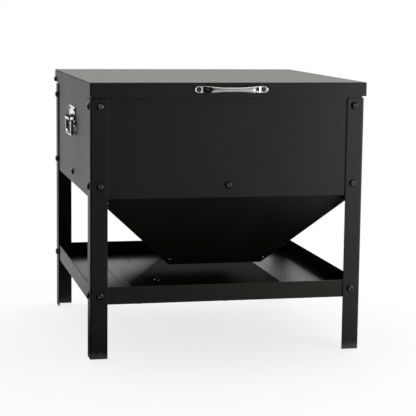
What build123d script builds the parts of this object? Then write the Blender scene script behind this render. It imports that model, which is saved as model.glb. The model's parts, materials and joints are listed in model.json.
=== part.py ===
"""Box feeder for poultry on four angle legs, sizes in millimetres, standing on Z = 0.

X runs left to right along the front, Y from front to back, Z up. The origin is on the
floor at the middle of the four feet.
"""

import os
from math import sqrt

from build123d import *

# Overall frame
base_width = 440.0  # over the outside of the legs, left to right
base_depth = 440.0  # over the outside of the legs, front to back
lid_top = 434.0
corner_gap = 0.3  # between separate sheets that meet at a corner

# Angle legs
leg_flange = 27.5
leg_wall = 2.0
leg_top_below_lid = 25.5  # the legs end behind the lid's skirt
leg_corner_radius = 3.7  # rounded upper corners of each flange
leg_bend_radius = 2.6
leg_bend_relief = 0.8  # a sheet's edge stays clear of the bend inside a leg
bolt_inset = 15.5  # bolt line, in from the outer edge of a leg

# Feed box
sheet = 1.2
box_bottom = 253.0
rim_fold = 12.0  # inward fold round the top edge of the box
lid_seat_gap = 0.3
upper_bolt_below_leg_top = 12.0
upper_bolt_drop_back = 7.0  # the back pair sits lower, clear of the opened lid
lower_bolt_z = 272.5

# Hopper
hopper_bend_z = 260.0  # where the upright flange turns into the slope
hopper_flange = 24.0
outlet_half_x = 78.0
outlet_half_y = 128.0
outlet_z = 131.0
hopper_wall_rise = 1.8  # wall measured straight up, about 1.2 mm across the sheet
hip_lap = 15.0  # side sheets lap behind the front and back sheets by this much
hip_overlap = 1.6  # the lap's root, on its own side of the hip
mitre_run = 12.0  # the hip's line is carried this far inside the outlet
hip_bolt_above_outlet = 8.5
hip_bolt_below_bend = 16.0

# Feed tray
tray_bottom = 86.5
tray_rim = 27.5
tray_bolt_z = 100.5
tray_foot_flange = 24.0  # inward foot of the front and back rims
tray_bolt_inset = 17.0  # in from the outer face of the front or back rim
tray_bolt_length = 6.0
lap_left_edge = -133.0
lap_right_edge = 122.0
lap_strip = 14.0
drain_radius = 3.6
drain_points = ((137.0, -68.0), (-96.0, 152.0))
floor_bolt_point = (-81.0, -45.0)

# Lid
lid_side_clearance = 0.35  # between a leg and the lid's side skirt
lid_skirt = 22.0
lid_front_overhang = 8.0  # outer face of the front skirt, ahead of the legs
lid_back_overhang = 0.5
lid_edge_radius = 2.0
pivot_below_top = 17.0
pivot_from_back = 14.5
pivot_sweep_clearance = 0.5  # between the box's back corners and the opening lid

# Lid pull
pull_spacing = 103.5
pull_foot_length = 14.0
pull_foot_height = 10.4
pull_foot_thickness = 2.4
pull_corner_radius = 4.4
pull_reach = 15.0  # outer face of the bar, ahead of the skirt
pull_slope = 6.0  # length of the run from a foot out to the bar
pull_bow = 2.5  # the bar's middle stands this far beyond its ends
pull_fold = 1.6  # the inner face of each bend sits this far towards the middle
pull_bar_thickness = 3.2
pull_neck_height = 6.4

# Side carry handles
handle_plate_width = 68.0
handle_plate_height = 33.0
handle_plate_wall = 1.5
handle_plate_radius = 4.0
handle_pivot_below_lid = 71.0
handle_plate_top_above_pivot = 20.0
barrel_wall = 1.8
barrel_length = 52.0
bail_wire = 5.6
bail_width = 73.0  # over the outside of the wire
bail_drop = 26.0  # pivot line to the middle of the grip
bail_corner_radius = 8.0
bail_shoulder_radius = 4.8
bail_taper = 3.0  # each side of the loop leans in by this much towards the grip
barrel_sink = 0.6  # the rolled barrel's depth in its plate
bail_turn_clearance = 0.08

# Fasteners
bolt_diameter = 6.0
bolt_length = 12.0
bolt_head_diameter = 11.5
bolt_head_height = 3.4
hex_recess = 4.0
hex_recess_depth = 1.9
bolt_end_chamfer = 0.5
bolt_end_past_nut = 1.0
thread_clearance = 0.05  # on the radius, between a nut and its bolt
bolt_hole_clearance = 0.2  # on the radius
nut_across_flats = 10.0
nut_height = 5.0
small_bolt_diameter = 4.0
small_bolt_length = 10.0
small_head_diameter = 8.0
small_head_height = 2.4
small_hex_recess = 2.5
small_nut_across_flats = 7.0
small_nut_height = 3.2
pivot_running_clearance = 0.08
pivot_side_play = 0.3
pivot_head_diameter = 9.5
spacer_diameter = 9.0
rivet_diameter = 3.2
rivet_head_diameter = 6.4
rivet_head_height = 1.6
rivet_tail_diameter = 4.6  # the end spread inside the box
rivet_tail_height = 1.4
rivet_edge_gap = 1.8  # between a rivet's head and the edge of its plate

# Cutting
drill_reach = 4.0  # a drilled hole is cut this far to each side of the face it starts on
overshoot = 2.0  # other cutting bodies run past what they cut by this much

# Worked out from the sizes above
half_width = base_width / 2
half_depth = base_depth / 2
leg_height = lid_top - leg_top_below_lid
upper_bolt_z = leg_height - upper_bolt_below_leg_top
handle_pivot_z = lid_top - handle_pivot_below_lid
skin_x = half_width - leg_wall  # outer face of the side panels
skin_y = half_depth - leg_wall
inner_x = skin_x - sheet
inner_y = skin_y - sheet
box_top = lid_top - sheet - lid_seat_gap
lid_half_width = half_width + lid_side_clearance + sheet
lid_front = -half_depth - lid_front_overhang
lid_back = half_depth + lid_back_overhang
pivot_y = half_depth - pivot_from_back
pivot_z = lid_top - pivot_below_top
sweep_radius = pivot_below_top - sheet - pivot_sweep_clearance
back_panel_top = pivot_z + sqrt(sweep_radius**2 - (skin_y - pivot_y) ** 2)
plate_middle_z = handle_pivot_z + handle_plate_top_above_pivot - handle_plate_height / 2
tray_top = tray_bottom + tray_rim
bolt_x = half_width - bolt_inset
bolt_y = half_depth - bolt_inset
hole_radius = bolt_diameter / 2 + bolt_hole_clearance
small_hole_radius = small_bolt_diameter / 2 + bolt_hole_clearance
back_bolt_z = upper_bolt_z - upper_bolt_drop_back
floor_low = tray_bottom + sheet
tray_bolt_row = skin_y - tray_bolt_inset
tray_bolt_columns = (lap_left_edge - lap_strip / 2, 0, lap_right_edge + lap_strip / 2)

os.makedirs("parts", exist_ok=True)


def save(part, name):
    part.label = name
    export_step(part, f"parts/{name}.step")


def face_plane(x, y, z, outward):
    """A plane whose Z axis points out of a wall and whose Y axis points up it."""
    out = Vector(*outward)
    return Plane(origin=(x, y, z), x_dir=Vector(0, 0, 1).cross(out), z_dir=out)


def button_bolt(diameter, length, head_diameter, head_height, recess):
    """A domed bolt with its head's underside on the local XY plane and its shank below."""
    with BuildPart(mode=Mode.PRIVATE) as bolt:
        with BuildSketch(Plane.XZ):
            with BuildLine():
                rim = (head_diameter / 2, 0.25 * head_height)
                crown = (0.3 * head_diameter, head_height)
                Polyline(
                    (0, head_height), (0, -length), (diameter / 2 - bolt_end_chamfer, -length),
                    (diameter / 2, -length + bolt_end_chamfer), (diameter / 2, 0),
                    (head_diameter / 2, 0), rim,
                )
                ThreePointArc(rim, (0.435 * head_diameter, 0.72 * head_height), crown)
                Line(crown, (0, head_height))
            make_face()
        revolve(axis=Axis.Z)
        with BuildSketch(Plane.XY.offset(head_height)):
            RegularPolygon(recess / 2, 6, major_radius=False)
        extrude(amount=-hex_recess_depth * head_height / bolt_head_height, mode=Mode.SUBTRACT)
    return bolt.part


def hex_nut(bore, across_flats, height):
    """A nut whose face lies on the local XY plane, body above it."""
    with BuildPart(mode=Mode.PRIVATE) as nut:
        with BuildSketch():
            RegularPolygon(across_flats / 2, 6, major_radius=False)
            Circle(bore / 2 + thread_clearance, mode=Mode.SUBTRACT)
        extrude(amount=height)
    return nut.part


def group(shape, planes):
    return Compound(children=[plane.location * shape for plane in planes])


def save_group(shape, planes, name):
    save(group(shape, planes), name)


# Legs: one bent angle, drilled on both flanges, copied to the four corners
def leg_holes(top_z):
    return (top_z, lower_bolt_z, tray_bolt_z)


def build_leg(name, side_x, side_y, top_z):
    with BuildPart() as leg:
        with BuildSketch():
            with BuildLine():
                Polyline(
                    (0, leg_flange), (0, 0), (leg_flange, 0), (leg_flange, leg_wall),
                    (leg_wall, leg_wall), (leg_wall, leg_flange), (0, leg_flange),
                )
            make_face()
        extrude(amount=leg_height)
        outer_bend = leg.edges().filter_by(Axis.Z).sort_by_distance((0, 0, leg_height / 2))[0]
        fillet(outer_bend, leg_bend_radius)
        inner_bend = leg.edges().filter_by(Axis.Z).sort_by_distance((leg_wall, leg_wall, leg_height / 2))[0]
        fillet(inner_bend, leg_bend_radius - leg_wall)
        top_edges = leg.edges().group_by(Axis.Z)[-1]
        fillet(top_edges.filter_by(Axis.Y).sort_by(Axis.X)[-1], leg_corner_radius)
        top_edges = leg.edges().group_by(Axis.Z)[-1]
        fillet(top_edges.filter_by(Axis.X).sort_by(Axis.Y)[-1], leg_corner_radius)
        for z in leg_holes(top_z):
            with Locations(Plane.XZ.offset(-leg_wall / 2).location * Location((bolt_inset, z, 0))):
                Hole(hole_radius, depth=drill_reach)
            with Locations(Plane.YZ.offset(leg_wall / 2).location * Location((bolt_inset, z, 0))):
                Hole(hole_radius, depth=drill_reach)
    placed = leg.part.moved(Location((-half_width, -half_depth, 0)))
    if side_x > 0:
        placed = placed.mirror(Plane.YZ)
    if side_y > 0:
        placed = placed.mirror(Plane.XZ)
    save(placed, name)


for row, side_y, top_z in (("front", -1, upper_bolt_z), ("back", 1, back_bolt_z)):
    for column, side_x in (("left", -1), ("right", 1)):
        build_leg(f"leg_{row}_{column}", side_x, side_y, top_z)


# Box panels: flat sheets with an inward fold along the top edge
def front_or_back_panel(name, side, top, bolt_z, fold):
    with BuildPart() as panel:
        with Locations((0, side * (skin_y - sheet / 2), (box_bottom + top) / 2)):
            Box(2 * (skin_x - leg_bend_relief), sheet, top - box_bottom)
        with Locations((0, side * (skin_y - fold / 2), top - sheet / 2)):
            Box(2 * (inner_x - corner_gap), fold, sheet)
        outward = face_plane(0, side * skin_y, 0, (0, side, 0))
        points = [(x, z) for x in (-bolt_x, bolt_x) for z in (bolt_z, lower_bolt_z)]
        points.append((0, lower_bolt_z))
        with Locations(*[outward.location * Location((x, z, 0)) for x, z in points]):
            Hole(hole_radius, depth=drill_reach)
    save(panel.part, name)


front_or_back_panel("panel_front", -1, box_top, upper_bolt_z, rim_fold)
front_or_back_panel("panel_back", 1, back_panel_top, back_bolt_z, skin_y - pivot_y)


def side_panel(name, side):
    length = 2 * (inner_y - corner_gap)
    with BuildPart() as panel:
        with Locations((side * (skin_x - sheet / 2), 0, (box_bottom + box_top) / 2)):
            Box(sheet, length, box_top - box_bottom)
        fold_back = pivot_y - corner_gap
        fold_front = -(inner_y - rim_fold)
        with Locations((side * (skin_x - rim_fold / 2), (fold_front + fold_back) / 2, box_top - sheet / 2)):
            Box(rim_fold, fold_back - fold_front, sheet)
        # The back upper corner is rounded about the pivot, so that the lid clears it
        with BuildSketch(Plane.YZ.offset(side * (skin_x - sheet / 2))):
            with Locations((pivot_y + rim_fold, pivot_z + rim_fold)):
                Rectangle(2 * rim_fold, 2 * rim_fold)
            with Locations((pivot_y, pivot_z)):
                Circle(sweep_radius, mode=Mode.SUBTRACT)
        extrude(amount=sheet, both=True, mode=Mode.SUBTRACT)
        outward = face_plane(side * skin_x, 0, 0, (side, 0, 0))
        sign = outward.x_dir.Y
        points = [(sign * -bolt_y, upper_bolt_z), (sign * bolt_y, back_bolt_z), (0, lower_bolt_z)]
        points += [(-bolt_y, lower_bolt_z), (bolt_y, lower_bolt_z), (sign * pivot_y, pivot_z)]
        with Locations(*[outward.location * Location((y, z, 0)) for y, z in points]):
            Hole(hole_radius, depth=drill_reach)
        rivets = [outward.location * Location((y, z, 0)) for y, z in rivet_points()]
        with Locations(*rivets):
            Hole(rivet_diameter / 2 + bolt_hole_clearance, depth=drill_reach)
    save(panel.part, name)


def rivet_points():
    inset = rivet_head_diameter / 2 + rivet_edge_gap
    reach_y = handle_plate_width / 2 - inset
    reach_z = handle_plate_height / 2 - inset
    return [(y, plate_middle_z + z) for y in (-reach_y, reach_y) for z in (-reach_z, reach_z)]


side_panel("panel_left", -1)
side_panel("panel_right", 1)


# Hopper: four sloping sheets, cut from one thin funnel along its hips
def funnel_half(z):
    """Half width and half depth of the funnel's outer surface at height z."""
    share = (z - outlet_z) / (hopper_bend_z - outlet_z)
    half_x = outlet_half_x + (inner_x - outlet_half_x) * share
    half_y = outlet_half_y + (inner_y - outlet_half_y) * share
    return half_x, half_y


def funnel_layer(low_rise, high_rise):
    """The funnel's wall between two copies of its outer surface, raised by the two amounts."""
    with BuildPart(mode=Mode.PRIVATE) as layer:
        for z in (outlet_z + low_rise, hopper_bend_z):
            with BuildSketch(Plane.XY.offset(z)):
                half_x, half_y = funnel_half(z - low_rise)
                Rectangle(2 * half_x, 2 * half_y)
        loft()
        for z in (outlet_z - overshoot, hopper_bend_z + overshoot):
            with BuildSketch(Plane.XY.offset(z)):
                half_x, half_y = funnel_half(z - high_rise)
                Rectangle(2 * half_x, 2 * half_y)
        loft(mode=Mode.SUBTRACT)
    return layer.part


wall_layer = funnel_layer(0, hopper_wall_rise)
lap_layer = funnel_layer(hopper_wall_rise, 2 * hopper_wall_rise)
hip_run = Vector(inner_x - outlet_half_x, inner_y - outlet_half_y, 0).normalized()
mitre_x = outlet_half_x - mitre_run * hip_run.X
mitre_y = outlet_half_y - mitre_run * hip_run.Y
hip_bolt_heights = (outlet_z + hip_bolt_above_outlet, hopper_bend_z - hip_bolt_below_bend)
hip_bolt_inset = (hip_lap + hip_overlap) / 2


def hip_bolt_plane(side_x, side_y, z):
    """On the outer face of the front or back sheet, set in from the hip."""
    half_x, half_y = funnel_half(z)
    rise = hopper_bend_z - outlet_z
    outward = Vector(0, side_y * rise, -(inner_y - outlet_half_y)).normalized()
    origin = (side_x * (half_x - hip_bolt_inset), side_y * half_y, z)
    return Plane(origin=origin, x_dir=(1, 0, 0), z_dir=outward)


hip_bolt_planes = [
    hip_bolt_plane(side_x, side_y, z) for side_x in (-1, 1) for side_y in (-1, 1) for z in hip_bolt_heights
]


def hopper_end_sheet(name, side):
    with BuildPart() as panel:
        add(wall_layer)
        with Locations((0, side * (inner_y - sheet / 2), hopper_bend_z + hopper_flange / 2)):
            Box(2 * inner_x, sheet, hopper_flange)
        with BuildSketch(Plane.XY.offset(outlet_z - overshoot)):
            with BuildLine():
                Polyline(
                    (-inner_x, side * inner_y), (inner_x, side * inner_y), (mitre_x, side * mitre_y),
                    (-mitre_x, side * mitre_y), (-inner_x, side * inner_y),
                )
            make_face()
            offset(amount=-corner_gap / 2, kind=Kind.INTERSECTION)
        extrude(amount=hopper_bend_z + hopper_flange + 2 * overshoot - outlet_z, mode=Mode.INTERSECT)
        for plane in hip_bolt_planes:
            if plane.origin.Y * side > 0:
                with Locations(plane.location):
                    Hole(small_hole_radius, depth=drill_reach)
        outward = face_plane(0, side * inner_y, 0, (0, side, 0))
        with Locations(*[outward.location * Location((x, lower_bolt_z, 0)) for x in (-bolt_x, 0, bolt_x)]):
            Hole(hole_radius, depth=drill_reach)
    save(panel.part, name)


def hopper_side_sheet(name, side):
    with BuildPart() as laps:
        add(lap_layer)
        with BuildSketch(Plane.XY.offset(outlet_z - overshoot)):
            for side_y in (-1, 1):
                across = Vector(-side * hip_run.Y, side_y * hip_run.X, 0)
                top = Vector(side * inner_x, side_y * inner_y, 0)
                foot = Vector(side * outlet_half_x, side_y * outlet_half_y, 0)
                foot = foot - (top - foot).normalized() * hip_lap
                with BuildLine():
                    near, far = across * -hip_overlap, Vector(-side * hip_lap, 0, 0)
                    Polyline(top + near, foot + near, foot + far, top + far, top + near)
                make_face()
        extrude(amount=hopper_bend_z - outlet_z + 2 * overshoot, mode=Mode.INTERSECT)
    with BuildPart() as panel:
        add(wall_layer)
        with Locations((side * (inner_x - sheet / 2), 0, hopper_bend_z + hopper_flange / 2)):
            Box(sheet, 2 * inner_y, hopper_flange)
        with BuildSketch(Plane.XY.offset(outlet_z - overshoot)):
            with BuildLine():
                Polyline(
                    (side * inner_x, -inner_y), (side * inner_x, inner_y), (side * mitre_x, mitre_y),
                    (side * mitre_x, -mitre_y), (side * inner_x, -inner_y),
                )
            make_face()
            offset(amount=-corner_gap / 2, kind=Kind.INTERSECTION)
        extrude(amount=hopper_bend_z + hopper_flange + 2 * overshoot - outlet_z, mode=Mode.INTERSECT)
        add(laps.part)
        for plane in hip_bolt_planes:
            if plane.origin.X * side > 0:
                with Locations(plane.location):
                    Hole(small_hole_radius, depth=drill_reach)
        outward = face_plane(side * inner_x, 0, 0, (side, 0, 0))
        with Locations(*[outward.location * Location((y, lower_bolt_z, 0)) for y in (-bolt_y, 0, bolt_y)]):
            Hole(hole_radius, depth=drill_reach)
    save(panel.part, name)


hopper_end_sheet("hopper_front", -1)
hopper_end_sheet("hopper_back", 1)
hopper_side_sheet("hopper_left", -1)
hopper_side_sheet("hopper_right", 1)


# Feed tray: front and back rims, two side trays with rims, and a middle floor
def tray_end_rim(name, side):
    with BuildPart() as rim:
        with Locations((0, side * (skin_y - sheet / 2), tray_bottom + tray_rim / 2)):
            Box(2 * (skin_x - leg_bend_relief), sheet, tray_rim)
        with Locations((0, side * (skin_y - tray_foot_flange / 2), tray_bottom + sheet / 2)):
            Box(2 * (skin_x - leg_flange), tray_foot_flange, sheet)
        outward = face_plane(0, side * skin_y, 0, (0, side, 0))
        with Locations(*[outward.location * Location((x, tray_bolt_z, 0)) for x in (-bolt_x, bolt_x)]):
            Hole(hole_radius, depth=drill_reach)
        with Locations(*[(x, side * tray_bolt_row, floor_low) for x in tray_bolt_columns]):
            Hole(small_hole_radius, depth=drill_reach)
    save(rim.part, name)


def side_tray(name, side, edge):
    length = 2 * (inner_y - corner_gap)
    step_x = edge + side * lap_strip
    with BuildPart() as tray:
        with BuildSketch(Plane.XZ):
            with BuildLine():
                Polyline(
                    (side * skin_x, tray_top), (side * skin_x, floor_low),
                    (step_x - side * sheet, floor_low), (step_x - side * sheet, floor_low + sheet),
                    (edge, floor_low + sheet), (edge, floor_low + 2 * sheet),
                    (step_x, floor_low + 2 * sheet), (step_x, floor_low + sheet),
                    (side * inner_x, floor_low + sheet), (side * inner_x, tray_top),
                    (side * skin_x, tray_top),
                )
            make_face()
        extrude(amount=length / 2, both=True)
        outward = face_plane(side * skin_x, 0, 0, (side, 0, 0))
        with Locations(*[outward.location * Location((y, tray_bolt_z, 0)) for y in (-bolt_y, bolt_y)]):
            Hole(hole_radius, depth=drill_reach)
        lap_x = edge + side * lap_strip / 2
        with Locations(*[(lap_x, y, floor_low + 2 * sheet) for y in (-tray_bolt_row, tray_bolt_row)]):
            Hole(small_hole_radius, depth=drill_reach)
        for x, y in drain_points:
            if x * side > abs(edge):
                with Locations((x, y, floor_low + sheet)):
                    Hole(drain_radius, depth=drill_reach)
    save(tray.part, name)


def middle_floor():
    left = lap_left_edge - lap_strip + sheet + corner_gap
    right = lap_right_edge + lap_strip - sheet - corner_gap
    with BuildPart() as floor:
        with Locations(((left + right) / 2, 0, floor_low + sheet / 2)):
            Box(right - left, 2 * (inner_y - corner_gap), sheet)
        corners = [(x, y) for x in tray_bolt_columns for y in (-tray_bolt_row, tray_bolt_row)]
        with Locations(*[(x, y, floor_low + sheet) for x, y in corners]):
            Hole(small_hole_radius, depth=drill_reach)
        with Locations((*floor_bolt_point, floor_low + sheet)):
            Hole(hole_radius, depth=drill_reach)
        for x, y in drain_points:
            if left < x < lap_right_edge:
                with Locations((x, y, floor_low + sheet)):
                    Hole(drain_radius, depth=drill_reach)
    save(floor.part, "tray_middle")


tray_end_rim("tray_rim_front", -1)
tray_end_rim("tray_rim_back", 1)
side_tray("tray_left", -1, lap_left_edge)
side_tray("tray_right", 1, lap_right_edge)
middle_floor()


# Lid: a folded pan, open at the back, that turns on two side bolts
lid_middle_y = (lid_front + lid_back) / 2
lid_length = lid_back - lid_front
pull_z = lid_top - lid_skirt / 2
with BuildPart() as lid:
    with Locations((0, lid_middle_y, lid_top - lid_skirt / 2)):
        Box(2 * lid_half_width, lid_length, lid_skirt)
    outer_edges = lid.edges().filter_by(Axis.Z).group_by(Axis.Y)[0]
    top_rim = lid.faces().sort_by(Axis.Z)[-1].edges().sort_by(Axis.Y)[:-1]
    fillet([*outer_edges, *top_rim], lid_edge_radius)
    hollow_length = lid_length - sheet + overshoot
    with Locations((0, lid_front + sheet + hollow_length / 2, lid_top - sheet - lid_skirt / 2)):
        Box(2 * (lid_half_width - sheet), hollow_length, lid_skirt, mode=Mode.SUBTRACT)
    with Locations(Plane.YZ.location * Location((pivot_y, pivot_z, 0))):
        Hole(bolt_diameter / 2 + pivot_running_clearance)
    skirt_face = face_plane(0, lid_front, 0, (0, -1, 0))
    pull_points = [(x, pull_z) for x in (-pull_spacing / 2, pull_spacing / 2)]
    pull_holes = [skirt_face.location * Location((x, z, 0)) for x, z in pull_points]
    with Locations(*pull_holes):
        Hole(small_hole_radius, depth=drill_reach)
save(lid.part, "lid_shell")

# Pull on the lid's front skirt: two flat feet and a bowed, waisted bar, one bent strip
foot_end = pull_spacing / 2 + pull_foot_length / 2
foot_inner = pull_spacing / 2 - pull_foot_length / 2
foot_face = lid_front - pull_foot_thickness
bar_end = foot_inner - pull_slope
bar_face = lid_front - pull_reach
with BuildPart() as lid_pull:
    with BuildSketch(Plane.XY.offset(pull_z)):
        with BuildLine():
            outer = TangentArc((0, bar_face), (bar_end, bar_face + pull_bow), tangent=(1, 0))
            back = bar_face + pull_bar_thickness
            inner = TangentArc((0, back), (bar_end - pull_fold, back + pull_bow), tangent=(1, 0))
            Polyline(
                outer @ 1, (foot_inner, foot_face), (foot_end, foot_face), (foot_end, lid_front),
                (foot_inner - pull_fold, lid_front), inner @ 1,
            )
            Line(outer @ 0, inner @ 0)
        make_face()
        mirror(about=Plane.YZ)
    extrude(amount=pull_foot_height / 2, both=True)
    with BuildSketch(Plane.XZ.offset(-lid_front - overshoot)):
        with Locations((0, pull_z)):
            RectangleRounded(2 * foot_end, pull_foot_height, pull_corner_radius)
        for up in (-1, 1):
            edge_z = pull_z + up * pull_foot_height / 2
            neck_z = pull_z + up * pull_neck_height / 2
            with BuildLine():
                ThreePointArc((-bar_end, edge_z), (0, neck_z), (bar_end, edge_z))
                Line((bar_end, edge_z), (-bar_end, edge_z))
            make_face(mode=Mode.SUBTRACT)
    extrude(amount=pull_reach + 2 * overshoot, mode=Mode.INTERSECT)
    with Locations(*pull_holes):
        Hole(small_hole_radius, depth=drill_reach)
save(lid_pull.part, "lid_pull")

small_bolt = button_bolt(
    small_bolt_diameter, small_bolt_length, small_head_diameter, small_head_height, small_hex_recess
)
small_nut = hex_nut(small_bolt_diameter, small_nut_across_flats, small_nut_height)
save_group(small_bolt, [face_plane(x, foot_face, z, (0, -1, 0)) for x, z in pull_points], "lid_pull_bolts")
skirt_back = lid_front + sheet
save_group(small_nut, [face_plane(x, skirt_back, z, (0, 1, 0)) for x, z in pull_points], "lid_pull_nuts")

# Lid pivots: a bolt, a spacer and a nut at each side
spacer_length = half_width + lid_side_clearance - skin_x - pivot_side_play
pivot_length = lid_half_width + pivot_side_play - inner_x + nut_height + bolt_end_past_nut
pivot_bolt = button_bolt(bolt_diameter, pivot_length, pivot_head_diameter, bolt_head_height, hex_recess)
nut = hex_nut(bolt_diameter, nut_across_flats, nut_height)
with BuildPart() as spacer:
    with BuildSketch():
        Circle(spacer_diameter / 2)
        Circle(hole_radius, mode=Mode.SUBTRACT)
    extrude(amount=spacer_length)
sides = (-1, 1)
save_group(
    pivot_bolt,
    [face_plane(s * (lid_half_width + pivot_side_play), pivot_y, pivot_z, (s, 0, 0)) for s in sides],
    "lid_pivot_bolts",
)
spacer_planes = [face_plane(s * skin_x, pivot_y, pivot_z, (s, 0, 0)) for s in sides]
save_group(spacer.part, spacer_planes, "lid_pivot_spacers")
save_group(nut, [face_plane(s * inner_x, pivot_y, pivot_z, (-s, 0, 0)) for s in sides], "lid_pivot_nuts")

# Frame bolts and nuts: three to each leg flange, and one at the middle of each panel
frame_bolt = button_bolt(bolt_diameter, bolt_length, bolt_head_diameter, bolt_head_height, hex_recess)
bolt_planes = []
nut_planes = []
for side in sides:
    for x in (-bolt_x, bolt_x):
        for z in leg_holes(upper_bolt_z if side < 0 else back_bolt_z):
            wall = sheet * (2 if z == lower_bolt_z else 1)
            bolt_planes.append(face_plane(x, side * half_depth, z, (0, side, 0)))
            nut_planes.append(face_plane(x, side * (skin_y - wall), z, (0, -side, 0)))
    for y in (-bolt_y, bolt_y):
        for z in leg_holes(upper_bolt_z if y < 0 else back_bolt_z):
            wall = sheet * (2 if z == lower_bolt_z else 1)
            bolt_planes.append(face_plane(side * half_width, y, z, (side, 0, 0)))
            nut_planes.append(face_plane(side * (skin_x - wall), y, z, (-side, 0, 0)))
save_group(frame_bolt, bolt_planes, "leg_bolts")
save_group(nut, nut_planes, "leg_nuts")

middle_bolts = [face_plane(0, s * skin_y, lower_bolt_z, (0, s, 0)) for s in sides]
middle_bolts += [face_plane(s * skin_x, 0, lower_bolt_z, (s, 0, 0)) for s in sides]
middle_nuts = [face_plane(0, s * (inner_y - sheet), lower_bolt_z, (0, -s, 0)) for s in sides]
middle_nuts += [face_plane(s * (inner_x - sheet), 0, lower_bolt_z, (-s, 0, 0)) for s in sides]
save_group(frame_bolt, middle_bolts, "panel_bolts")
save_group(nut, middle_nuts, "panel_nuts")

# Small bolts along the hips, heads outside and nuts within the hopper
slope_length = sqrt((hopper_bend_z - outlet_z) ** 2 + (inner_y - outlet_half_y) ** 2)
wall_across = hopper_wall_rise * (inner_y - outlet_half_y) / slope_length
nut_seats = [
    Plane(origin=plane.origin - plane.z_dir * (2 * wall_across), x_dir=plane.x_dir, z_dir=-plane.z_dir)
    for plane in hip_bolt_planes
]
save_group(small_bolt, hip_bolt_planes, "hopper_bolts")
save_group(small_nut, nut_seats, "hopper_nuts")

# Tray bolts: heads on the floor, nuts under the rim's foot
tray_heads = []
for x in tray_bolt_columns:
    head_z = floor_low + (sheet if x == 0 else 2 * sheet)
    tray_heads += [Plane(origin=(x, y, head_z)) for y in (-tray_bolt_row, tray_bolt_row)]
tray_nut_planes = [
    Plane(origin=(plane.origin.X, plane.origin.Y, tray_bottom), x_dir=(1, 0, 0), z_dir=(0, 0, -1))
    for plane in tray_heads
]
tray_bolt = button_bolt(
    small_bolt_diameter, tray_bolt_length, small_head_diameter, small_head_height, small_hex_recess
)
save_group(tray_bolt, tray_heads, "tray_bolts")
save_group(small_nut, tray_nut_planes, "tray_nuts")

# One frame bolt kept in a hole of the tray's middle sheet
under_floor = Plane(origin=(*floor_bolt_point, floor_low), x_dir=(1, 0, 0), z_dir=(0, 0, -1))
save_group(frame_bolt, [Plane(origin=(*floor_bolt_point, floor_low + sheet))], "floor_bolt")
save_group(nut, [under_floor], "floor_nut")

# Carry handles: a riveted plate with a rolled barrel, and a bail that turns in it
bail_radius = bail_wire / 2
barrel_bore = bail_radius + bail_turn_clearance
barrel_radius = barrel_bore + barrel_wall
pivot_out = handle_plate_wall + barrel_radius - barrel_sink


def handle_plate(name, side):
    wall = face_plane(side * skin_x, 0, 0, (side, 0, 0))
    with BuildPart() as plate:
        with BuildSketch(wall):
            with Locations((0, plate_middle_z)):
                RectangleRounded(handle_plate_width, handle_plate_height, handle_plate_radius)
        extrude(amount=handle_plate_wall)
        with Locations((side * (skin_x + pivot_out), 0, handle_pivot_z)):
            Cylinder(barrel_radius, barrel_length, rotation=(90, 0, 0))
        with Locations((side * (skin_x + handle_plate_wall + barrel_radius / 2), 0, handle_pivot_z)):
            Box(barrel_radius, barrel_length, 2 * barrel_wall)
        with Locations((side * (skin_x + pivot_out), 0, handle_pivot_z)):
            Cylinder(barrel_bore, barrel_length + overshoot, rotation=(90, 0, 0), mode=Mode.SUBTRACT)
        with Locations(*[wall.location * Location((y, z, handle_plate_wall)) for y, z in rivet_points()]):
            Hole(rivet_diameter / 2 + bolt_hole_clearance, depth=drill_reach)
    save(plate.part, name)


def handle_bail(name, side):
    plane = face_plane(side * (skin_x + pivot_out), 0, handle_pivot_z, (side, 0, 0))
    half = bail_width / 2 - bail_radius
    with BuildPart() as bail:
        with BuildLine(plane) as half_loop:
            FilletPolyline(
                (0, 0), (half, 0), (half - bail_taper, -bail_drop), (0, -bail_drop),
                radius=[bail_shoulder_radius, bail_corner_radius],
            )
        with BuildSketch(Plane(origin=plane.origin, z_dir=plane.x_dir)):
            Circle(bail_radius)
        sweep(path=half_loop.wires()[0])
        mirror(about=Plane(origin=plane.origin, z_dir=plane.x_dir))
    save(bail.part, name)


def dome_rivet():
    grip = handle_plate_wall + sheet
    tail = -grip - rivet_tail_height
    rim = (rivet_head_diameter / 2, 0.2 * rivet_head_height)
    crown = (0.2 * rivet_head_diameter, rivet_head_height)
    with BuildPart(mode=Mode.PRIVATE) as rivet:
        with BuildSketch(Plane.XZ):
            with BuildLine():
                Polyline(
                    (0, rivet_head_height), (0, tail), (rivet_tail_diameter / 2, tail),
                    (rivet_tail_diameter / 2, -grip), (rivet_diameter / 2, -grip), (rivet_diameter / 2, 0),
                    (rivet_head_diameter / 2, 0), rim,
                )
                ThreePointArc(rim, (0.4 * rivet_head_diameter, 0.7 * rivet_head_height), crown)
                Line(crown, (0, rivet_head_height))
            make_face()
        revolve(axis=Axis.Z)
    return rivet.part


handle_plate("carry_plate_left", -1)
handle_plate("carry_plate_right", 1)
handle_bail("carry_bail_left", -1)
handle_bail("carry_bail_right", 1)
rivet_face = skin_x + handle_plate_wall
rivet_planes = [face_plane(s * rivet_face, y, z, (s, 0, 0)) for s in sides for y, z in rivet_points()]
save_group(dome_rivet(), rivet_planes, "carry_plate_rivets")
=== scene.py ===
import json
import math

import bpy
from mathutils import Matrix, Vector


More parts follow.
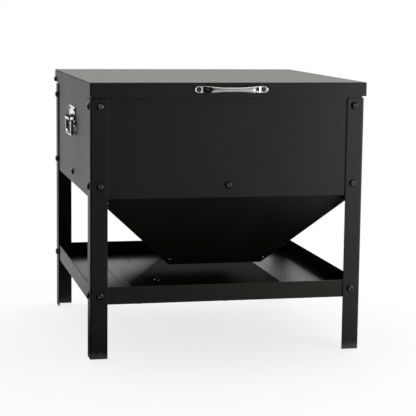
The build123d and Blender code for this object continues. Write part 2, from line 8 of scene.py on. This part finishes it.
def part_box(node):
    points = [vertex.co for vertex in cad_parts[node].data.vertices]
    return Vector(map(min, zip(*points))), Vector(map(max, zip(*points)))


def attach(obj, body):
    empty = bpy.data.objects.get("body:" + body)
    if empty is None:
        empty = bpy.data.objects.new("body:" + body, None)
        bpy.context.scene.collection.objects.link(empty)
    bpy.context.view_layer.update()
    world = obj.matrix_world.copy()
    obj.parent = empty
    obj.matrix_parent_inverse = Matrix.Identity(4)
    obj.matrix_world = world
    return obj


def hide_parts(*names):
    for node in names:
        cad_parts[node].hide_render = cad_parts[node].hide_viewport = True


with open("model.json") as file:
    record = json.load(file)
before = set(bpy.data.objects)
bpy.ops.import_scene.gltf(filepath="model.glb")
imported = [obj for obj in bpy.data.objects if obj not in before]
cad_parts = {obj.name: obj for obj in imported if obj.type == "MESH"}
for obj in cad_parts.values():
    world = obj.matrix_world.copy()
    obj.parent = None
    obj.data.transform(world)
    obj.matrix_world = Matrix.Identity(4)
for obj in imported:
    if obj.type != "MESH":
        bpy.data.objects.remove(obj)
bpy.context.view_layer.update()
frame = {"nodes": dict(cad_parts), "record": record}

nodes = frame["nodes"]
print("frame loaded,", len(nodes), "nodes")


# Camera, fitted to where the photograph was taken from
cameraSetup = {
    "place": (-0.5307, -2.4100, 0.5534),
    "yaw": 0.2233,  # radians, to the right of straight ahead
    "pitch": -0.1402,
    "roll": -0.0115,
    "lens": 124.8,  # millimetres, as the sensor is
    "sensor": 36,
}


def makeCamera():
    yaw, pitch, roll = cameraSetup["yaw"], cameraSetup["pitch"], cameraSetup["roll"]
    ahead = Vector((math.sin(yaw) * math.cos(pitch), math.cos(yaw) * math.cos(pitch), math.sin(pitch)))
    level = Vector((math.cos(yaw), -math.sin(yaw), 0))
    down = ahead.cross(level)
    right = level * math.cos(roll) + down * math.sin(roll)
    up = level * math.sin(roll) - down * math.cos(roll)
    data = bpy.data.cameras.new("camera")
    data.lens = cameraSetup["lens"]
    data.sensor_width = cameraSetup["sensor"]
    camera = bpy.data.objects.new("camera", data)
    bpy.context.scene.collection.objects.link(camera)
    turn = Matrix((right, up, -ahead)).transposed()
    camera.matrix_world = Matrix.Translation(cameraSetup["place"]) @ turn.to_4x4()
    bpy.context.scene.camera = camera


makeCamera()
print("camera placed")


# Shader helpers
def newMaterial(name):
    material = bpy.data.materials.new(name)
    material.use_nodes = True
    tree = material.node_tree
    shader = tree.nodes["Principled BSDF"]
    return material, tree, shader


def addNode(tree, kind, **inputs):
    node = tree.nodes.new(kind)
    for name, value in inputs.items():
        node.inputs[name.replace("_", " ")].default_value = value
    return node


# A number or a colour is set on the socket, anything else is linked to it
def feed(tree, socket, value):
    if isinstance(value, (int, float)):
        socket.default_value = value
    elif isinstance(value, tuple):
        socket.default_value = (*value, 1.0)
    else:
        tree.links.new(value, socket)


def mathNode(tree, operation, first, second):
    node = tree.nodes.new("ShaderNodeMath")
    node.operation = operation
    feed(tree, node.inputs[0], first)
    feed(tree, node.inputs[1], second)
    return node.outputs[0]


def mapRange(tree, value, span, toLow=0.0, toHigh=1.0):
    node = addNode(
        tree, "ShaderNodeMapRange", From_Min=span[0], From_Max=span[1], To_Min=toLow, To_Max=toHigh
    )
    tree.links.new(value, node.inputs["Value"])
    return node.outputs["Result"]


# Goes from the first to the second value as the share goes from 0 to 1
def blend(tree, share, first, second):
    node = tree.nodes.new("ShaderNodeMix")
    tree.links.new(share, node.inputs["Factor"])
    feed(tree, node.inputs[2], first)  # 2 and 3 are the Mix node's two numbers
    feed(tree, node.inputs[3], second)
    return node.outputs[0]


def mixColour(tree, share, first, second):
    node = tree.nodes.new("ShaderNodeMix")
    node.data_type = "RGBA"
    tree.links.new(share, node.inputs["Factor"])
    feed(tree, node.inputs[6], first)  # 6 and 7 are the Mix node's two colours
    feed(tree, node.inputs[7], second)
    return node.outputs[2]


def noise(tree, place, scale, detail=3.0, roughness=0.5):
    node = addNode(tree, "ShaderNodeTexNoise", Scale=scale, Detail=detail, Roughness=roughness)
    tree.links.new(place, node.inputs["Vector"])
    return node.outputs["Fac"]


def objectPlace(tree):
    return tree.nodes.new("ShaderNodeTexCoord").outputs["Object"]


def splitPlace(tree, place):
    split = tree.nodes.new("ShaderNodeSeparateXYZ")
    tree.links.new(place, split.inputs[0])
    return split.outputs


def startGroup(name, inputs, outputs):
    group = bpy.data.node_groups.new(name, "ShaderNodeTree")
    for label, value in inputs.items():
        socket = group.interface.new_socket(label, in_out="INPUT", socket_type="NodeSocketFloat")
        socket.default_value = value
    for label, kind in outputs.items():
        group.interface.new_socket(label, in_out="OUTPUT", socket_type=kind)
    entry = group.nodes.new("NodeGroupInput").outputs
    leave = group.nodes.new("NodeGroupOutput").inputs
    return group, entry, leave


def useGroup(tree, group, **values):
    node = tree.nodes.new("ShaderNodeGroup")
    node.node_tree = group
    for name, value in values.items():
        node.inputs[name].default_value = value
    return node.outputs


# Skin of a baked finish: a slow ripple with a fine grain over it, and softly rounded edges
peelLook = {
    "inputs": {"Ripple": 0.00012, "Grain": 0.00003, "Roughness": 0.42, "Spread": 0.08, "Edge": 0.0008},
    "rippleScale": 520.0,
    "grainScale": 2600.0,
    "patchScale": 9.0,
    "patchRoughness": 0.62,
    "speckle": 0.06,  # how far the grain sways the roughness
    "bevelSamples": 6,
    "cornerSpan": (0.99, 0.80),  # from a flat face to a full corner, as the cosine of the turn
}


def makeOrangePeel():
    outputs = {
        "Normal": "NodeSocketVector",
        "Roughness": "NodeSocketFloat",
        "Patch": "NodeSocketFloat",
        "Corner": "NodeSocketFloat",
    }
    group, entry, leave = startGroup("orangePeel", peelLook["inputs"], outputs)
    place = objectPlace(group)
    ripple = noise(group, place, peelLook["rippleScale"], detail=2.0)
    grain = noise(group, place, peelLook["grainScale"], detail=1.0)
    patch = noise(group, place, peelLook["patchScale"], detail=4.0, roughness=peelLook["patchRoughness"])
    rippleHeight = mathNode(group, "MULTIPLY", ripple, entry["Ripple"])
    grainHeight = mathNode(group, "MULTIPLY", grain, entry["Grain"])

    rounded = group.nodes.new("ShaderNodeBevel")
    rounded.samples = peelLook["bevelSamples"]
    group.links.new(entry["Edge"], rounded.inputs["Radius"])
    turned = group.nodes.new("ShaderNodeVectorMath")
    turned.operation = "DOT_PRODUCT"
    group.links.new(rounded.outputs[0], turned.inputs[0])
    group.links.new(group.nodes.new("ShaderNodeNewGeometry").outputs["Normal"], turned.inputs[1])
    group.links.new(mapRange(group, turned.outputs["Value"], peelLook["cornerSpan"]), leave["Corner"])

    bump = addNode(group, "ShaderNodeBump", Strength=1.0, Distance=1.0)
    group.links.new(mathNode(group, "ADD", rippleHeight, grainHeight), bump.inputs["Height"])
    group.links.new(rounded.outputs[0], bump.inputs["Normal"])
    group.links.new(bump.outputs["Normal"], leave["Normal"])

    sway = mathNode(group, "MULTIPLY", mathNode(group, "SUBTRACT", patch, 0.5), entry["Spread"])
    speckle = mathNode(group, "MULTIPLY", mathNode(group, "SUBTRACT", grain, 0.5), peelLook["speckle"])
    change = mathNode(group, "ADD", sway, speckle)
    group.links.new(mathNode(group, "ADD", change, entry["Roughness"]), leave["Roughness"])
    group.links.new(patch, leave["Patch"])
    return group


# Rubbed feet: a ragged mask that fades out between the heights Low and High
rubLook = {
    "inputs": {"Low": 0.0, "High": 0.01, "Amount": 0.5},
    "raggedScale": 240.0,
    "raggedRoughness": 0.7,
    "raggedHeight": 0.02,
}


def makeRubbedBand():
    group, entry, leave = startGroup("rubbedBand", rubLook["inputs"], {"Mask": "NodeSocketFloat"})
    place = objectPlace(group)
    height = splitPlace(group, place)["Z"]
    ragged = noise(group, place, rubLook["raggedScale"], detail=5.0, roughness=rubLook["raggedRoughness"])
    ragged = mathNode(group, "SUBTRACT", ragged, 0.5)
    ragged = mathNode(group, "MULTIPLY", ragged, rubLook["raggedHeight"])
    level = mathNode(group, "ADD", height, ragged)
    left = mathNode(group, "SUBTRACT", entry["High"], level)
    span = mathNode(group, "SUBTRACT", entry["High"], entry["Low"])
    clamp = group.nodes.new("ShaderNodeClamp")
    group.links.new(mathNode(group, "DIVIDE", left, span), clamp.inputs["Value"])
    group.links.new(mathNode(group, "MULTIPLY", clamp.outputs[0], entry["Amount"]), leave["Mask"])
    return group


orangePeel = makeOrangePeel()
rubbedBand = makeRubbedBand()


# Black powder coat of the box, legs, hopper and tray
coatLook = {
    "colour": (0.0034, 0.0034, 0.0032),
    "paler": (0.0056, 0.0055, 0.0051),
    "palerSpan": (0.3, 0.75),
    "edge": (0.035, 0.035, 0.036),  # painted highlight along bends and cut edges, lighter than the coat
    "bare": (0.20, 0.20, 0.205),
    "bareShare": 0.35,
    "rubbedHeight": 0.012,  # how far up the feet are rubbed
    "roughness": 0.42,
    "hopperRoughness": 0.36,
    "trayRoughness": 0.37,
    "sheenTint": (1.0, 0.985, 0.92),
    "shine": 0.38,
    "trayShine": 0.26,
    # specular level inside the painted shade on the tray
    "paintedShadeShine": 0.004,
}

# Painted shade on the tray: its specular level is lowered across a span of one axis, and the span's line may
# lean with Y.
# A wall gets the painted shade on its inner face only: past "wall", between its two faces, it keeps its
# shine.
outerSkin = 0.0008
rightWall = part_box("tray_right")[1].x - outerSkin
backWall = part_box("tray_rim_back")[1].y - outerSkin
paintedShadeAreas = {
    "middle": {"axis": "X", "lean": 0.41, "span": (-0.178, -0.102), "wall": None},
    "right": {"axis": "X", "lean": 0.0, "span": (0.160, 0.200), "wall": rightWall},
    "back": {"axis": "Y", "lean": 0.0, "span": (0.10, 0.15), "wall": backWall},
}


# Painted shade: lowers the specular level in one area of the tray, with nodes of the material itself, since
# a group doesn't feed the specular level
def paintedShadeShine(tree, area, shine):
    place = splitPlace(tree, objectPlace(tree))
    leaning = mathNode(tree, "MULTIPLY", place["Y"], area["lean"])
    across = mathNode(tree, "SUBTRACT", place[area["axis"]], leaning)
    share = mapRange(tree, across, area["span"])
    if area["wall"]:
        inner = mathNode(tree, "LESS_THAN", place[area["axis"]], area["wall"])
        share = mathNode(tree, "MULTIPLY", share, inner)
    return blend(tree, share, shine, coatLook["paintedShadeShine"])


def powderCoat(name, roughness="roughness", shine="shine", rubbed=False, paintedShadeArea=None):
    material, tree, shader = newMaterial(name)
    peel = useGroup(tree, orangePeel, Roughness=coatLook[roughness])
    patch = mapRange(tree, peel["Patch"], coatLook["palerSpan"])
    colour = mixColour(tree, patch, coatLook["colour"], coatLook["paler"])
    # Painted highlight: the coat is made lighter along bends and cut edges
    colour = mixColour(tree, peel["Corner"], colour, coatLook["edge"])
    if rubbed:
        rub = useGroup(tree, rubbedBand, High=coatLook["rubbedHeight"], Amount=coatLook["bareShare"])
        colour = mixColour(tree, rub["Mask"], colour, coatLook["bare"])
    tree.links.new(colour, shader.inputs["Base Color"])
    tree.links.new(peel["Roughness"], shader.inputs["Roughness"])
    tree.links.new(peel["Normal"], shader.inputs["Normal"])
    shader.inputs["Specular Tint"].default_value = (*coatLook["sheenTint"], 1.0)
    shader.inputs["Specular IOR Level"].default_value = coatLook[shine]
    # Painted shade on the tray: a lowered specular level in one area
    if paintedShadeArea:
        level = paintedShadeShine(tree, paintedShadeAreas[paintedShadeArea], coatLook[shine])
        tree.links.new(level, shader.inputs["Specular IOR Level"])
    return material


# Chrome of the pull and the carry handles
chromeLook = {
    "bright": (0.86, 0.86, 0.87),
    "dull": (0.70, 0.70, 0.72),
    "dullSpan": (0.35, 0.7),
    "cloudScale": 90.0,
    "cloudRoughness": 0.6,
    "roughSpan": (0.3, 0.75),
    "smoothest": 0.06,
    "roughest": 0.17,
    "rippleScale": 700.0,
    "rippleStrength": 0.25,
    "rippleHeight": 0.0002,
}


def chrome():
    material, tree, shader = newMaterial("brightChrome")
    place = objectPlace(tree)
    cloud = noise(tree, place, chromeLook["cloudScale"], detail=4.0, roughness=chromeLook["cloudRoughness"])
    dulling = mapRange(tree, cloud, chromeLook["dullSpan"])
    colour = mixColour(tree, dulling, chromeLook["bright"], chromeLook["dull"])
    roughness = mapRange(
        tree, cloud, chromeLook["roughSpan"], chromeLook["smoothest"], chromeLook["roughest"]
    )
    ripple = noise(tree, place, chromeLook["rippleScale"], detail=2.0)
    bump = addNode(
        tree, "ShaderNodeBump", Strength=chromeLook["rippleStrength"], Distance=chromeLook["rippleHeight"]
    )
    tree.links.new(ripple, bump.inputs["Height"])
    tree.links.new(colour, shader.inputs["Base Color"])
    tree.links.new(roughness, shader.inputs["Roughness"])
    tree.links.new(bump.outputs["Normal"], shader.inputs["Normal"])
    shader.inputs["Metallic"].default_value = 1.0
    return material


# Blackened bolts and nuts, rubbed in places, with a painted highlight along their edges
boltLook = {
    "black": (0.055, 0.055, 0.056),
    "rubbed": (0.17, 0.17, 0.175),
    "rubbedSpan": (0.45, 0.70),
    "rubbedShare": 0.7,
    # painted highlight along the bolts' edges
    "edge": (0.55, 0.55, 0.56),
    "edgeRadius": 0.0006,
    "roughness": 0.22,
    "ripple": 0.00004,
    "grain": 0.00002,
}


def blackBolt():
    material, tree, shader = newMaterial("blackOxideBolt")
    peel = useGroup(
        tree,
        orangePeel,
        Ripple=boltLook["ripple"],
        Grain=boltLook["grain"],
        Roughness=boltLook["roughness"],
        Edge=boltLook["edgeRadius"],
    )
    rub = mapRange(tree, peel["Patch"], boltLook["rubbedSpan"], 0.0, boltLook["rubbedShare"])
    colour = mixColour(tree, rub, boltLook["black"], boltLook["rubbed"])
    # Painted highlight: bright colour along the bolts' edges
    colour = mixColour(tree, peel["Corner"], colour, boltLook["edge"])
    tree.links.new(colour, shader.inputs["Base Color"])
    tree.links.new(peel["Roughness"], shader.inputs["Roughness"])
    tree.links.new(peel["Normal"], shader.inputs["Normal"])
    shader.inputs["Metallic"].default_value = 1.0
    return material


# Zinc of the rivets and spacers, with its crystals
zincLook = {
    "pale": (0.60, 0.60, 0.61),
    "dark": (0.38, 0.39, 0.41),
    "crystalScale": 1400.0,
    "crystalSpan": (0.0, 0.8),
    "cloudScale": 300.0,
    "cloudSpan": (0.3, 0.7),
    "smoothest": 0.22,
    "roughest": 0.42,
    "metallic": 0.9,
}


def zincPlate():
    material, tree, shader = newMaterial("zincPlate")
    place = objectPlace(tree)
    crystal = addNode(tree, "ShaderNodeTexVoronoi", Scale=zincLook["crystalScale"])
    tree.links.new(place, crystal.inputs["Vector"])
    shade = mapRange(tree, crystal.outputs["Distance"], zincLook["crystalSpan"])
    colour = mixColour(tree, shade, zincLook["pale"], zincLook["dark"])
    cloud = noise(tree, place, zincLook["cloudScale"], detail=4.0)
    roughness = mapRange(tree, cloud, zincLook["cloudSpan"], zincLook["smoothest"], zincLook["roughest"])
    tree.links.new(colour, shader.inputs["Base Color"])
    tree.links.new(roughness, shader.inputs["Roughness"])
    shader.inputs["Metallic"].default_value = zincLook["metallic"]
    return material


materials = {
    "coat": powderCoat("powderCoatBlack"),
    "coatLid": powderCoat("powderCoatLid"),
    "coatLeg": powderCoat("powderCoatLeg", rubbed=True),
    "coatHopper": powderCoat("powderCoatHopper", "hopperRoughness"),
    "coatTray": powderCoat("powderCoatTray", "trayRoughness", "trayShine"),
    # The tray's middle, right and back materials carry painted shade
    "coatTrayMiddle": powderCoat("powderCoatTrayMiddle", "trayRoughness", "trayShine", paintedShadeArea="middle"),
    "coatTrayRight": powderCoat("powderCoatTrayRight", "trayRoughness", paintedShadeArea="right"),
    "coatTrayBack": powderCoat("powderCoatTrayBack", paintedShadeArea="back"),
    "chrome": chrome(),
    "bolt": blackBolt(),
    "zinc": zincPlate(),
}
print("materials made")


# Which finish each CAD node wears: by its slot, then its own name, then the start of its name
finishOfSlot = {"black_fasteners": "bolt", "chrome_fittings": "chrome", "zinc_steel": "zinc"}
finishOfNode = {
    "tray_left": "coatTray",
    "tray_middle": "coatTrayMiddle",
    "tray_right": "coatTrayRight",
    "tray_rim_back": "coatTrayBack",
}
finishOfStart = {"leg": "coatLeg", "hopper": "coatHopper", "lid": "coatLid"}


def setMaterial(thing, material):
    slots = thing.data.materials
    slots.clear()
    slots.append(material)


def dressNodes():
    for subpart in frame["record"]["subparts"]:
        name = subpart["node"]
        byStart = finishOfStart.get(name.split("_")[0], "coat")
        byName = finishOfNode.get(name, byStart)
        setMaterial(nodes[name], materials[finishOfSlot.get(subpart["material_slot"], byName)])


dressNodes()
print("nodes dressed")


# Modelling helpers
def deselectAll():
    if bpy.context.mode != "OBJECT":
        bpy.ops.object.mode_set(mode="OBJECT")
    bpy.ops.object.select_all(action="DESELECT")


def makeActive(thing):
    deselectAll()
    thing.select_set(True)
    bpy.context.view_layer.objects.active = thing


def applyModifier(thing, kind, **values):
    makeActive(thing)
    modifier = thing.modifiers.new(kind.lower(), kind)
    for key, value in values.items():
        setattr(modifier, key, value)
    bpy.ops.object.modifier_apply(modifier=modifier.name)


# Selects the vertices that pass the test and stays in edit mode
def selectVertices(thing, test):
    bpy.ops.mesh.select_mode(type="VERT")
    bpy.ops.mesh.select_all(action="DESELECT")
    bpy.ops.object.mode_set(mode="OBJECT")
    for vertex in thing.data.vertices:
        vertex.select = bool(test(vertex.co))
    bpy.ops.object.mode_set(mode="EDIT")


def easeInOut(share):
    return share * share * (3 - 2 * share)


# Pull on the lid: one chromed strip, its feet flat and its bar bowed out, waisted and domed
pullShape = {
    "spacing": 0.1035,  # between the two screws
    "footLength": 0.0142,
    "footThickness": 0.0024,
    "barThickness": 0.0022,
    "crown": 0.0012,  # how far the bar's face is domed
    "waist": 0.0064,  # the bar's height at its narrowest
    "clearance": 0.0002,  # kept inside the CAD box
    "stations": 40,
    "levels": (-0.30, -0.12, 0.12, 0.30),  # cuts along the strip, in foot heights
    "domeSteps": ((0.33, 0.35), (0.16, 0.65)),  # half height and its part of the crown
    "riseEnd": 0.24,  # the bar has risen from its foot at this share of the way to the middle
    "riseShare": 0.83,
    "waistEnd": 0.75,
    "thinEnd": 0.2,
    "crownEnd": 0.3,
    "tipHeight": 0.34,  # the rounded ends are never lower than this, in foot heights
    "edgeRadius": 0.0007,
    "edgeAngle": 50,
}
samePlace = 1e-5


# How far the bar's back stands out, for a share from 0 at a foot's inner edge to 1 at the middle
def pullOffset(share):
    rise = easeInOut(min(1.0, share / pullShape["riseEnd"]))
    bow = 1 - (1 - share) ** 2
    return rise * pullShape["riseShare"] + bow * (1 - pullShape["riseShare"])


def stationPlaces(halfLength):
    stations = pullShape["stations"]
    return [-halfLength + 2 * halfLength * step / stations for step in range(stations + 1)]


def cutStrip(back, centreZ, halfLength, footHeight):
    deselectAll()
    thickness = pullShape["footThickness"]
    bpy.ops.mesh.primitive_cube_add(size=1, location=(0, back - thickness / 2, centreZ))
    strip = bpy.context.object
    strip.name = "lidPull"
    strip.scale = (2 * halfLength, thickness, footHeight)
    bpy.ops.object.transform_apply(location=True, rotation=True, scale=True)
    bpy.ops.object.mode_set(mode="EDIT")
    for place in stationPlaces(halfLength)[1:-1]:
        bpy.ops.mesh.select_all(action="SELECT")
        bpy.ops.mesh.bisect(plane_co=(place, back, centreZ), plane_no=(1, 0, 0))
    for level in pullShape["levels"]:
        bpy.ops.mesh.select_all(action="SELECT")
        bpy.ops.mesh.bisect(plane_co=(0, back, centreZ + level * footHeight), plane_no=(0, 0, 1))
    return strip


# Moves one station of the bar out, makes it narrower and thinner, and domes its face
def bowStation(strip, place, share, travel, back, centreZ, footHeight):
    shape = pullShape
    halfThickness = shape["footThickness"] / 2
    waistEase = easeInOut(min(1.0, share / shape["waistEnd"]))
    narrow = 1 + (shape["waist"] / footHeight - 1) * waistEase
    thin = 1 + (shape["barThickness"] / shape["footThickness"] - 1) * min(1.0, share / shape["thinEnd"])
    middle = Vector((place, back - halfThickness, centreZ))
    bpy.ops.transform.resize(value=(1, thin, narrow), center_override=middle)
    offset = travel * pullOffset(share)
    bpy.ops.transform.translate(value=(0, -offset, 0))
    face = back - offset - halfThickness
    crown = shape["crown"] * min(1.0, share / shape["crownEnd"])
    for reach, part in shape["domeSteps"]:
        halfHeight = reach * footHeight * narrow
        selectVertices(
            strip,
            lambda co: abs(co.x - place) < samePlace and co.y < face and abs(co.z - centreZ) < halfHeight,
        )
        bpy.ops.transform.translate(value=(0, -crown * part, 0))


def makePull():
    low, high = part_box("lid_pull")
    back = high.y
    centreZ = (low.z + high.z) / 2
    halfLength = (high.x - low.x) / 2
    footHeight = high.z - low.z
    inner = (pullShape["spacing"] - pullShape["footLength"]) / 2
    travel = high.y - low.y - pullShape["barThickness"] - pullShape["crown"] - pullShape["clearance"]
    pull = cutStrip(back, centreZ, halfLength, footHeight)
    for place in stationPlaces(halfLength):
        selectVertices(pull, lambda co: abs(co.x - place) < samePlace)
        share = 1 - abs(place) / inner
        endGap = halfLength - abs(place)
        if share > 0:
            bowStation(pull, place, share, travel, back, centreZ, footHeight)
        elif endGap < footHeight / 2:
            turn = 1 - endGap / (footHeight / 2)
            rounded = max(pullShape["tipHeight"], math.sqrt(max(0.0, 1 - turn * turn)))
            bpy.ops.transform.resize(value=(1, 1, rounded), center_override=(place, back, centreZ))
    bpy.ops.mesh.select_all(action="SELECT")
    bpy.ops.mesh.normals_make_consistent(inside=False)
    edgeAngle = math.radians(pullShape["edgeAngle"])
    applyModifier(
        pull, "BEVEL", width=pullShape["edgeRadius"], segments=3, limit_method="ANGLE", angle_limit=edgeAngle
    )
    applyModifier(pull, "SUBSURF", levels=2, render_levels=2)
    makeActive(pull)
    bpy.ops.object.shade_smooth()
    setMaterial(pull, materials["chrome"])
    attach(pull, "lid")
    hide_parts("lid_pull")


makePull()
print("lid pull made")


# Stage: a pale floor that fades into white. What the part mirrors of it is set apart from what
# the camera sees: dark beneath, brighter to the right, in front and behind.
stageSetup = {
    "floorSize": 60.0,
    "floorColour": (0.90, 0.90, 0.90),
    "floorRoughness": 0.8,
    "floorShine": 0.1,
    "fadeSpan": (0.30, 1.30),  # metres from the middle of the part
    "fadeLow": 0.78,
    "mirroredLeft": 0.01,
    "mirroredRight": 1.00,
    "mirroredFront": 0.85,
    "mirroredBehind": 0.90,
    "beneathSpan": (0.12, 0.40),  # along X
    "frontSpan": (-0.6, 0.9),
    "beneathStart": (-0.42, -0.25),  # along Y
    "behindStart": (0.0, 0.45),
}


def mirroredFloor(tree, place):
    setup = stageSetup
    beneath = mapRange(
        tree, place["X"], setup["beneathSpan"], setup["mirroredLeft"], setup["mirroredRight"]
    )
    inFront = mapRange(tree, place["X"], setup["frontSpan"], setup["mirroredLeft"], setup["mirroredFront"])
    near = blend(tree, mapRange(tree, place["Y"], setup["beneathStart"]), inFront, beneath)
    return blend(tree, mapRange(tree, place["Y"], setup["behindStart"]), near, setup["mirroredBehind"])


def makeFloor():
    deselectAll()
    bpy.ops.mesh.primitive_plane_add(size=stageSetup["floorSize"], location=(0, 0, 0))
    floor = bpy.context.object
    floor.name = "floor"
    material, tree, shader = newMaterial("paleFloor")
    shader.inputs["Base Color"].default_value = (*stageSetup["floorColour"], 1)
    shader.inputs["Roughness"].default_value = stageSetup["floorRoughness"]
    shader.inputs["Specular IOR Level"].default_value = stageSetup["floorShine"]
    place = objectPlace(tree)
    distance = tree.nodes.new("ShaderNodeVectorMath")
    distance.operation = "LENGTH"
    tree.links.new(place, distance.inputs[0])
    fade = mapRange(tree, distance.outputs["Value"], stageSetup["fadeSpan"], stageSetup["fadeLow"], 1.0)
    mirrored = mirroredFloor(tree, splitPlace(tree, place))
    path = tree.nodes.new("ShaderNodeLightPath").outputs
    glow = tree.nodes.new("ShaderNodeEmission")
    glow.inputs["Color"].default_value = (1, 1, 1, 1)
    tree.links.new(blend(tree, path["Is Glossy Ray"], 1.0, mirrored), glow.inputs["Strength"])
    glowing = mathNode(tree, "MULTIPLY", path["Is Camera Ray"], fade)
    glowing = mathNode(tree, "MAXIMUM", glowing, path["Is Glossy Ray"])
    mix = tree.nodes.new("ShaderNodeMixShader")
    tree.links.new(glowing, mix.inputs["Fac"])
    tree.links.new(shader.outputs[0], mix.inputs[1])
    tree.links.new(glow.outputs[0], mix.inputs[2])
    tree.links.new(mix.outputs[0], tree.nodes["Material Output"].inputs["Surface"])
    setMaterial(floor, material)


# World that the part reflects: bright behind it, dark ahead on the left and lighter on the right
worldSetup = {
    "behindLow": 0.05,
    "behindHigh": 3.2,
    "aheadLeft": 0.005,
    "aheadRight": 0.68,
    "above": 0.50,
    "aheadSpan": (0.12, 0.55),  # along X
    "behindSpan": (-0.15, 0.40),  # along Y
    "behindRise": (0.22, 0.40),  # along Z, as the next one
    "aboveSpan": (0.45, 0.85),
}


def makeWorld():
    setup = worldSetup
    world = bpy.data.worlds.new("studio")
    bpy.context.scene.world = world
    world.use_nodes = True
    tree = world.node_tree
    towards = splitPlace(tree, tree.nodes.new("ShaderNodeTexCoord").outputs["Generated"])
    ahead = mapRange(tree, towards["X"], setup["aheadSpan"], setup["aheadLeft"], setup["aheadRight"])
    behind = mapRange(tree, towards["Z"], setup["behindRise"], setup["behindLow"], setup["behindHigh"])
    level = blend(tree, mapRange(tree, towards["Y"], setup["behindSpan"]), ahead, behind)
    level = blend(tree, mapRange(tree, towards["Z"], setup["aboveSpan"]), level, setup["above"])
    around = tree.nodes["Background"]
    around.inputs["Color"].default_value = (1, 1, 1, 1)
    tree.links.new(level, around.inputs["Strength"])
    white = addNode(tree, "ShaderNodeBackground", Strength=1.0)
    white.inputs["Color"].default_value = (1, 1, 1, 1)
    path = tree.nodes.new("ShaderNodeLightPath").outputs
    seen = mathNode(tree, "MAXIMUM", path["Is Camera Ray"], path["Is Transmission Ray"])
    mix = tree.nodes.new("ShaderNodeMixShader")
    tree.links.new(seen, mix.inputs["Fac"])
    tree.links.new(around.outputs[0], mix.inputs[1])
    tree.links.new(white.outputs[0], mix.inputs[2])
    tree.links.new(mix.outputs[0], tree.nodes["World Output"].inputs["Surface"])


lamps = [
    {"name": "topSoft", "place": (0.5, 0.9, 2.6), "size": 2.2, "watts": 26.0},
    {"name": "rightSoft", "place": (0.86, -0.92, 0.32), "size": 0.45, "watts": 4.2},
]
lampAim = (0, 0, 0.22)  # the middle of the part


def makeLamps():
    for lamp in lamps:
        data = bpy.data.lights.new(lamp["name"], "AREA")
        data.size = lamp["size"]
        data.energy = lamp["watts"]
        thing = bpy.data.objects.new(lamp["name"], data)
        bpy.context.scene.collection.objects.link(thing)
        thing.location = lamp["place"]
        towards = Vector(lampAim) - Vector(lamp["place"])
        thing.rotation_euler = towards.to_track_quat("-Z", "Y").to_euler()
        thing.visible_camera = False


makeFloor()
makeWorld()
makeLamps()
bpy.context.scene.view_settings.view_transform = "Standard"
print("stage lit")
